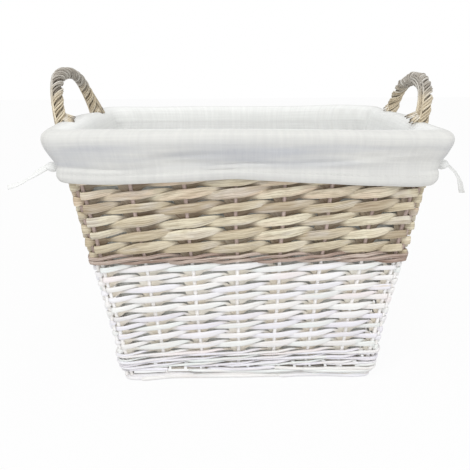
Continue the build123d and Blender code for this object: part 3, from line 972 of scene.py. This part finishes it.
def foot_rods():
    """Rods laid end over end round the foot in three courses, and the thinner ones over them."""
    paths, sizes, reach = [], [], []
    share = np.linspace(0, 1, 46)
    for n, z, across, count, lag, outer in foot_courses:
        for rod in range(count):
            q = lag + 4 * (rod + np.linspace(-0.07, 1.07, 46)) / count
            phase = rng.uniform(0, 2 * pi, 2)
            sink = 0.0016 * (np.exp(-(share / 0.07) ** 2) - np.exp(-((1 - share) / 0.07) ** 2))
            size = 1.04 - 0.22 * share + 0.04 * np.sin(q * 20 + phase[1])
            size = size * tapered(share, 0.02, 0.05, 0.55, 0.3)
            lowest = across / 2 * size + 0.0001
            height = np.maximum(z + 0.0005 * np.sin(q * 14 + phase[0]) - sink * 0.4, lowest)
            at_corner = capped((np.abs(2 * (q - np.floor(q)) - 1) - 0.86) / 0.14)
            outwards = n + sink + 0.0004 * np.sin(q * 9 + phase[1]) - 0.0045 * at_corner
            paths.append(on_stakes(q % 4, outwards, height))
            sizes.append(size)
            reach.append(0 * q + outer)
    share = np.linspace(0, 1, 60)
    for first, last, z, n in gap_rods:
        q = np.linspace(first, last, 60)
        phase = rng.uniform(0, 2 * pi, 2)
        weave = 0.0014 * np.sin(q * 17 + phase[0])
        paths.append(on_stakes(q % 4, n + weave, z + 0.0019 * np.sin(q * 11 + phase[1])))
        sizes.append(0.72 * tapered(share, 0.04, 0.06, 0.3, 0.3) * (1 + 0.06 * np.sin(q * 25)))
        reach.append(0 * q + 0.004)
    tones = [np.full(len(path), rng.random()) for path in paths]
    rodwork("foot_rods", around("foot_rod"), round_section(0.0066), paths, sizes, painted, tones,
            closed=False, reach=reach)


foot_rods()

# %% [markdown]
# ## Handles
#
# Each handle is a bent core whose ends go down between the rails. Straight rods lie along one side
# of it, and bundles of finer rods are wound round the rest like a rope, rising to the right: three
# bundles, each of five rods side by side. At the foot the rods splay, and their cut ends show.

# %% Handles
leg_radius = 0.004 / cos(pi / 6)
bundles = 3
cut_tip = 0.85  # how dark a rod's cut tip is
groove_shade = 0.95  # painted shade: how much the core is darkened, deep in the grooves of the winding
strand_turns = np.radians((-72, -36, 0, 36, 72))  # where a bundle's rods lie round its middle


def left_bow(q):
    """How far the left wall's rim stands out, which bulges near the front and gives way at the back."""
    return np.interp(q % 4, (3.0, 3.26, 3.5, 3.74, 3.9, 4.0),
                     (0, -0.0035, 0.0015, 0.0065, 0.0035, 0), period=4)


def resampled(points, spacing, extra=0):
    """The same line at even steps, and how far along each step is."""
    at = np.r_[0, np.cumsum(np.linalg.norm(np.diff(points, axis=0), axis=1))]
    marks = np.linspace(0, at[-1], int(at[-1] / spacing) + extra)
    return np.stack([np.interp(marks, at, column) for column in points.T], axis=1), marks


def handle_line(side):
    """The arch's middle line, as along the wall, outwards and height, at even steps.

    Its near half stands up straight and its far half leans, as bent by hand.
    """
    low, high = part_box("handle_core_" + side)
    leg = (high[1] - low[1]) / 2 - leg_radius
    top = high[2] - leg_radius + (0.0075 if side == "left" else -0.0030)
    turn = np.linspace(0, pi, 181)
    near = -1 if side == "right" else 1
    power = np.where(-np.sign(np.cos(turn)) == near, 0.66, 0.95)
    u = -leg * np.sign(np.cos(turn)) * np.abs(np.cos(turn)) ** power
    z = border_top + (top - border_top) * np.sin(turn) ** 0.85
    front_half = (1 + np.sin(pi / 2 * np.clip(u * near / leg / 0.7, -1, 1))) / 2
    if side == "left":
        leans = front_half * (0.0075 - 0.0040 * np.sin(turn)) - (1 - front_half) * 0.0045 * (1 - np.sin(turn))
    else:
        leans = -0.0045 * front_half
    down = np.linspace(low[2], border_top, 14)[:-1]
    inwards = np.interp(down, [border_bottom, border_top], [0, 1])
    u = np.r_[np.full(13, -leg), u, np.full(13, leg)]
    n = np.r_[inwards * (0.011 + leans[0]), 0.011 + leans, inwards[::-1] * (0.011 + leans[-1])]
    return resampled(np.stack([u, n, np.r_[down, z, down[::-1]]], axis=1), 0.002)

# %% Frayed ends
def frayed_ends(line, hand):
    """Short ends of the winding that fan out inwards over the cuff at the foot of each leg."""
    ends = []
    share = np.linspace(0, 1, 12)
    for leg in (line[:, 0].min(), line[:, 0].max()):
        near = leg * hand < 0
        other_leg = line[:, 0] * leg < 0
        foot_n = line[np.abs(line[:, 2] - border_top - 0.004) + 0.1 * other_leg < 0.0025][:, 1].mean()
        for strand in range(7):
            spread = (strand - 3) / 3
            reach = rng.uniform(0.016, 0.023) if near else rng.uniform(0.008, 0.012)
            forward = (0.007 + 0.010 * spread + 0.003 * hand) * (1 if near else 0.3)
            u = leg - hand * (forward * share + 0.003 * spread)
            z = border_top + 0.0145 - 0.004 * spread - (0.0092 + 0.0005 * spread) * share ** 0.8
            ends.append(np.stack([u, foot_n - 0.002 - share * reach, z], axis=1))
    return ends

# %% Left and right handle
def sway(at, size, rate):
    """A small wave along a rod, that begins anywhere."""
    return size * np.sin(at * rate + rng.uniform(0, 6))


def handle(side, pitch, stout):
    """All the rods of one handle. pitch is how far the winding climbs in one turn."""
    line, marks = handle_line(side)
    hand = 1 if side == "right" else -1
    along = unit(np.gradient(line, axis=0))
    out = unit(np.array([0, 1.0, 0]) - along * along[:, 1:2])
    across = np.cross(along, out)
    paths, sizes, darks = [], [], []

    def add(path, size, dark):
        """Takes in a rod, once it stands beside its wall."""
        x = hand * (half_length(path[:, 2]) + path[:, 1])
        paths.append(np.stack([x, hand * path[:, 0], path[:, 2]], axis=1))
        sizes.append(np.broadcast_to(size, len(path)))
        darks.append(np.broadcast_to(dark, len(path)))

    def rod(keep, a, b, size, dark):
        """A rod beside the line: a towards the outside of the arch, b outwards from the basket."""
        a, b = np.reshape(a, (-1, 1)) * stout, np.reshape(b, (-1, 1)) * stout
        add(line[keep] + across[keep] * a + out[keep] * b, stout * size, dark)

    everywhere = np.arange(len(line))
    rod(everywhere, 0.0, 0.0, 1.7, groove_shade)
    for a, b in ((0.0026, 0.0026), (-0.0026, 0.0026), (0.0026, -0.0026), (-0.0026, -0.0026)):
        rod(everywhere, a, b, 1.2, groove_shade)

    above = np.where(line[:, 2] > border_top - 0.002)[0]
    gone = marks[above]
    rough = capped((line[above, 2] - border_top) / 0.06) ** 2
    west = -hand  # the straight rods lie on the side of the arch that faces -X
    reach = 1.0
    if side == "right":  # on its far half the winding covers them
        reach = 0.35 + 0.65 * capped((line[above, 0] * west / np.abs(line[:, 0]).max() + 0.2) / 0.4)
    for turn in (-16, 6, 29, 52):
        wave = sway(gone, 0.0003, 60) + rough * sway(gone, 0.0004, 120)
        around_it = radians(turn) + sway(gone, 0.07, 35)
        far = (0.0080 + wave) * reach
        size = 1.02 + sway(gone, 0.10, 75)
        rod(above, far * np.sin(around_it), west * far * np.cos(around_it), size, 0.25 * rng.random())
    for bundle in range(bundles):
        phase = rng.uniform(0, 6, 2)
        plump = 1 + 0.10 * np.sin(gone * 2 * pi / 0.037 + phase[0])
        plump = plump + 0.05 * np.sin(gone * 2 * pi / 0.011 + phase[1])
        climb = 2 * pi * (gone / pitch + bundle / bundles) + 0.12 * np.sin(gone * 50 + bundle)
        for over in strand_turns:
            wave = sway(gone, 0.00025, 110) + rough * sway(gone, 0.0004, 130)
            turn = climb + radians(52) * plump * sin(over)
            far = 0.0036 + 0.0046 * plump * cos(over) + wave
            edge = abs(over) > 1
            size = (0.80 if edge else 1.14) + sway(gone, 0.1, 70)
            # painted shade: the rods at a bundle's edges lie in the grooves and are darkened
            dark = 0.60 if edge else 0.1 * rng.random()
            rod(above, far * np.cos(turn), far * np.sin(turn) - west * 0.0008, size, dark)
    low_part = above[(line[above, 0] < 0) & (line[above, 2] < border_top + 0.045)]
    loose = 1 - capped((line[low_part, 2] - border_top) / 0.040)
    for strand in range(4 if side == "left" else 0):
        a, b = 0.0062 - 0.0022 * strand + 0.002 * loose, 0.0005 * strand - 0.0066 - 0.0105 * loose ** 1.3
        rod(low_part, a, b, 0.95, 0.2 + 0.3 * rng.random() * loose)
    for end in frayed_ends(line, hand):
        add(end, np.linspace(0.85, 0.66, len(end)), np.linspace(-1.6, cut_tip, len(end)).clip(-0.6))
    tones = [np.full(len(path), rng.random()) for path in paths]
    worn = [capped((path[:, 2] - border_top) / (line[:, 2].max() - border_top)) for path in paths]
    rodwork("handle_" + side, [f"handle_core_{side}", f"handle_wrap_{side}"], round_section(0.0026, 8),
            paths, sizes, handle_finish, tones, closed=False, angle=70, worn=worn, dark=darks)


handle("left", 0.042, 0.86)
handle("right", 0.044, 1.0)

# %% [markdown]
# ## Liner
#
# The liner is one sewn bag whose top is folded down over the border as a cuff. It could be draped
# by simulation, but a sewn liner keeps a definite shape, so it is laid out as a sheet: rows along
# its profile, columns round the basket, with the sag, folds and creases added as slow waves. The
# cuff rolls over the border, draws in to a waist under it, and its doubled hem stands out again.

# %% Liner shapes
columns = 600
round_marks = np.arange(columns) / columns * 4
cuff_low, cuff_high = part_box("cuff")
bag_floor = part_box("bag_bottom")[0][2] + 0.001
cloth_n = -0.0101  # the middle of the bag's wall
cuff_thickness = 0.0018
bag_thickness = 0.0016
bag_corner = 0.020
hem_depth = 0.0125
floor_bend = 0.012  # radius of the bend from the bag's wall into its floor


def ripple(seed, waves, low=1):
    """A slow random wave round the basket, between about -1 and 1, that closes on itself."""
    local = np.random.default_rng(seed)
    total = np.zeros(columns)
    for wave in range(low, waves + 1):
        size = local.standard_normal() / wave ** 0.4
        total += size * np.sin(2 * pi * (wave * round_marks / 4 + local.random()))
    return total / np.abs(total).max()


def bump(at, middle, width):
    """1 at the middle, and falling off to nothing on both sides."""
    return np.exp(-((at - middle) / width) ** 2)


def sheet(name, n, z, corner, lengths):
    """A mesh of cloth over rows along the profile and columns round the basket."""
    piece = ringed(name, place(round_marks, n, z, corner, 0.07))
    girth = 2 * (half_length(cuff_high[2]) + half_width(cuff_high[2]))
    cloth = np.stack(np.broadcast_arrays(round_marks / 4 * girth, lengths[:, None], 0.0), axis=-1)
    note(piece, "cloth", cloth.reshape(-1, 3))
    return piece


def thickened(piece, thickness):
    """Gives cloth its thickness."""
    tidy(piece, 180)
    select_only(piece)
    solid = piece.modifiers.new("thickness", "SOLIDIFY")
    solid.thickness = thickness
    solid.offset = 0
    bpy.ops.object.modifier_apply(modifier=solid.name)
    tidy(piece, 60)

# %% Cuff's shape
rim = cuff_high[2] - 0.001
profile = [(cloth_n, 0.022), (cloth_n, 0.012), (cloth_n + 0.0012, 0.0045), (cloth_n + 0.006, 0.0008),
           (0.004, 0), (0.012, 0.0008), (0.0165, 0.0030), (0.0188, 0.0075), (0.0192, 0.0125),
           (0.0184, 0.0185), (0.0168, 0.025), (0.0146, 0.032), (0.0128, 0.039), (0.0120, 0.0455),
           (0.0126, 0.0505), (0.0138, 0.0550), (0.0147, 0.0595), (0.0142, 0.0630), (0.0120, 0.0650)]


def by_hand(*knots):
    """A smooth closed wave round the basket from (q, millimetres) marks."""
    wave = np.interp(round_marks, *zip(*knots), period=4)
    for _ in range(30):
        wave = (np.roll(wave, 1) + 2 * wave + np.roll(wave, -1)) / 4
    return wave / 1000


cuff_rise = by_hand((0, 0), (0.4, 0.5), (0.65, -0.8), (0.85, -3.0), (1.0, -3.5), (1.2, -2.5), (1.5, 1.0),
                    (1.8, -1.0), (2.0, 1.0), (2.12, 3.5), (2.3, 1.0), (2.8, 0.0), (2.95, 2.5), (3.05, 1.0),
                    (3.25, -0.5), (3.5, 3.0), (3.8, 0.5))
hem_rise = by_hand((0.0, 5.0), (0.05, 3.0), (0.10, 0.5), (0.15, 0.0), (0.22, 1.5), (0.32, 2.5), (0.42, 5.0),
                   (0.465, 8.0), (0.50, 4.5), (0.58, 3.5), (0.66, 1.0), (0.75, 0.0), (0.85, -1.5),
                   (0.93, -2.5), (0.97, -1.0), (1.0, 2.5), (1.3, 1.0), (1.6, -1.0), (2.0, 3.0), (2.4, 0.0),
                   (2.7, 2.0), (3.0, 3.0), (3.4, -0.5), (3.8, 1.0))


def creases(n, z, s):
    """Folds along the cuff's waist and soft unevenness over the rest, as shifts of n and z."""
    over = capped((s - 0.03) / 0.02)
    n = n + over * 0.0020 * ripple(3, 14, 3) * bump(s, 0.060, 0.016)
    n = n + over * 0.0022 * ripple(4, 26, 6) * bump(s, 0.080, 0.012)
    z = z + over * 0.0016 * ripple(8, 18, 4) * bump(s, 0.078, 0.015)
    z = z + 0.0012 * ripple(5, 9) * bump(s, 0.032, 0.02)
    for seed, at, depth, width in ((11, 0.080, 0.0017, 0.0026), (12, 0.087, 0.0015, 0.0022),
                                   (13, 0.093, 0.0013, 0.0020), (14, 0.073, 0.0012, 0.0030),
                                   (15, 0.066, 0.0008, 0.0040)):
        line = at + 0.006 * ripple(seed, 7) + 0.0012 * ripple(seed + 20, 24, 8)
        strength = depth * capped(ripple(seed + 40, 16, 2) + 0.15)
        n = n - strength * bump(s, line, width) + 0.6 * strength * bump(s, line + 1.7 * width, width)
    hem = capped((s - s[-1] + 0.035) / 0.03)
    z = z + hem * (hem_rise + 0.0005 * ripple(7, 34, 10)) + cuff_rise * capped(s / 0.02)
    return n, z


def inner_folds():
    """Upright folds in the cloth beside the back corners, as a shift inwards."""
    folds = np.zeros(columns)
    for q, depth, width in ((2.965, 0.0022, 0.010), (2.93, -0.0010, 0.012), (3.07, 0.0014, 0.014),
                            (2.055, 0.0018, 0.010), (2.09, -0.0010, 0.012), (2.13, 0.0016, 0.012),
                            (2.18, 0.0009, 0.012), (1.93, 0.0016, 0.012), (1.86, 0.0012, 0.015),
                            (2.66, 0.0007, 0.02)):
        folds += depth * bump((round_marks - q + 2) % 4 - 2, 0, width)
    return folds

# %% Cuff
inner = inner_folds()


def cuff():
    """The cuff: its profile, smoothed, and then shifted by the creases, the folds and the wall's bow."""
    line, marks = resampled(np.array([(n, rim - below) for n, below in profile]), 0.0021, extra=1)
    for _ in range(5):
        line[1:-1] = (line[:-2] + 2 * line[1:-1] + line[2:]) / 4
    s = marks[:, None]
    n, z = creases(line[:, :1], line[:, 1:], s)
    n = n - inner * capped(1 - (s - 0.01) / 0.018)
    share_down = capped((rim - z) / (rim - cuff_low[2]))
    n = n + capped((n - cloth_n - 0.004) / 0.014) * (1 - 0.75 * share_down) * left_bow(round_marks)
    outside = capped((n - cloth_n) / 0.012)
    piece = sheet("liner_cuff", n, z, bag_corner + (0.017 - 0.011 * share_down - bag_corner) * outside, marks)
    thickened(piece, cuff_thickness)
    finished(piece, ["cuff"], cotton("cuff_cotton", hem=marks[-1] - hem_depth), "liner")
    rim_girth = 4 * (half_length(rim) + half_width(rim))


cuff()

# %% Bag
def facing_out(piece):
    """1 where a point of the bag faces out or down, and 0 where it faces in or lies on the rim."""
    from_middle = np.minimum(points_of(piece.data) - (0, 0, bag_floor + 0.15), (1, 1, 0))
    return ((from_middle * points_of(piece.data, "normal")).sum(axis=1) > 0.06).astype(float)


def bag():
    """The bag: its walls down from the cuff, rounded into its floor."""
    top = rim - profile[0][1]
    bend = np.linspace(0, pi / 2, 7)[1:]
    n = np.r_[np.full(54, cloth_n), cloth_n - floor_bend * (1 - np.cos(bend))]
    z = np.r_[np.linspace(top, bag_floor + floor_bend, 54), bag_floor + floor_bend * (1 - np.sin(bend))]
    lengths = np.r_[0, np.cumsum(np.hypot(np.diff(n), np.diff(z)))]
    n, z = n[:, None], z[:, None]
    depth = top - z
    down = capped(depth / 0.05) * capped((z - bag_floor) / 0.03)
    folds = 0.0016 * ripple(31, 26, 4) * bump(depth, 0.09, 0.09)
    folds = folds + 0.0012 * ripple(32, 40, 12) * bump(depth, 0.2, 0.10)
    n = n - down * (np.abs(folds) + 0.0004) - inner * bump(depth, 0, 0.16)
    piece = sheet("liner_bag", n, z, np.interp(depth, [0, 0.02], [bag_corner, 0.0115]), lengths)
    lowest = len(piece.data.vertices) - columns
    select_only(piece)
    bpy.ops.object.mode_set(mode="EDIT")
    bpy.ops.mesh.select_all(action="DESELECT")
    bpy.ops.object.mode_set(mode="OBJECT")
    for vertex in piece.data.vertices[lowest:]:
        vertex.select = True
    bpy.ops.object.mode_set(mode="EDIT")
    bpy.ops.mesh.select_mode(type="VERT")
    for _ in range(8):
        bpy.ops.mesh.extrude_region_move()
        bpy.ops.transform.resize(value=(0.82, 0.82, 1))
    bpy.ops.mesh.merge(type="CENTER")
    bpy.ops.object.mode_set(mode="OBJECT")
    thickened(piece, bag_thickness)
    # outer marks where the bag is painted a little greyer as shade
    note(piece, "outer", facing_out(piece))
    finished(piece, around("bag") + ["bag_bottom"], bag_cotton, "liner")
    girth = 4 * (half_length(0.2) + half_width(0.2))
    area = girth * lengths[-1] + 4 * half_length(0.02) * half_width(0.02)


bag()

# %% [markdown]
# ## Knots
#
# Where a tie is sewn on, its end is drawn into a small gathered lump. It starts as a sphere whose
# rings are pinched towards the tape and pleated round.

# %% Knots
def knot(name, side):
    low, high = (Vector(corner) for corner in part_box("knot_" + name))
    bpy.ops.mesh.primitive_uv_sphere_add(segments=40, ring_count=24, radius=0.5, rotation=(0, pi / 2, 0))
    piece = bpy.context.object
    piece.name = "knot_gathered_" + name
    bpy.ops.object.transform_apply(location=False, rotation=True, scale=False)
    for vertex in piece.data.vertices:
        x, y, z = vertex.co
        outer = x * side + 0.5
        turn = np.arctan2(z, y)
        pleat = 1 + 0.10 * sin(7 * turn + 5 * outer) * (0.4 + 0.6 * outer) + 0.05 * sin(13 * turn + 2)
        wide = pleat * (1.05 - 0.28 * outer ** 2)
        vertex.co = (low + high) / 2 + Vector((x, y * wide, z * wide)) * (high - low)
    note(piece, "cloth", points_of(piece.data)[:, [0, 2, 1]])
    tidy(piece, 180)
    finished(piece, ["knot_" + name], tie_cotton, "liner")


knot("left", -1)
knot("right", 1)

# %% [markdown]
# ## Base
#
# The base's sticks and the strips woven across them have the right shape in the frame, so they are
# kept, and only get the willow's finish.

# %% Base
def base_willow():
    f = Finish("base_willow")
    streaks = f.noise("place", (60.0, 60.0, 900.0), 4.0)
    white = f.mix(f.noise("place", (40.0, 30.0, 40.0), 2.0), (238, 236, 234), (214, 204, 188))
    f.relief(streaks, 0.0005, 0.6)
    return f.paint_with(f.tinted(white, (190, 172, 146), streaks, 0.6, 0.4, 0.4), 0.65)


base_finish = base_willow()
for node in ("base_sticks", "base_weave"):
    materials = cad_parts[node].data.materials
    materials.clear()
    materials.append(base_finish)

# %% [markdown]
# ## Floor and light
#
# A large pale floor keeps the basket's shadow, and is lifted towards white only for the camera.
# Three wide soft lamps and a pale world light the basket.

# %% Floor and light
white_light = (1.0, 1.0, 1.0, 1.0)
floor_lift = 0.94  # how much of the floor's look is plain white
sky_light = 0.86


def pale_floor():
    f = Finish("floor_paint")
    f.surface.inputs["Base Color"].default_value = (0.74, 0.74, 0.75, 1)
    f.surface.inputs["Roughness"].default_value = 0.9
    camera_ray, glossy, through = (f.node("ShaderNodeLightPath", output=name) for name in
                                   ("Is Camera Ray", "Is Glossy Ray", "Is Transmission Ray"))
    seen = f.maths("MAXIMUM", camera_ray, f.maths("MAXIMUM", glossy, through))
    glow = f.node("ShaderNodeEmission", None, {"Color": white_light, "Strength": 1.0})
    plain = Value(f, f.surface.outputs[0])
    return f.shown(f.node("ShaderNodeMixShader", None, {0: seen * floor_lift, 1: plain, 2: glow}))


def studio():
    """A pale sky that lights the basket, and pure white behind it for the camera."""
    f = Finish("studio", "worlds")
    sky, backdrop = (f.node("ShaderNodeBackground", None, {"Color": white_light, "Strength": strength})
                     for strength in (sky_light, 1.0))
    seen = f.node("ShaderNodeLightPath", output="Is Camera Ray")
    return f.shown(f.node("ShaderNodeMixShader", None, {0: seen, 1: sky, 2: backdrop}))

# %% Lamps
def lamp(name, location, size, power):
    """A square lamp that faces the basket's middle."""
    bpy.ops.object.light_add(type="AREA", location=location)
    light = bpy.context.object
    light.name = name
    light.data.size = size
    light.data.energy = power
    light.rotation_euler = (Vector((0, 0, 0.18)) - Vector(location)).to_track_quat("-Z", "Y").to_euler()
    print("lamp:", name, power, "W")


bpy.ops.mesh.primitive_plane_add(size=8, location=(0, 2.0, 0))
floor = bpy.context.object
floor.name = "floor"
floor.data.materials.append(pale_floor())
bpy.context.scene.world = studio()
lamp("key", (-0.45, -1.15, 1.7), 0.9, 11)
lamp("fill", (1.3, -1.1, 1.0), 1.2, 3)
lamp("front", (-0.3, -2.2, 0.6), 1.6, 5)
bpy.context.scene.view_settings.view_transform = "Standard"
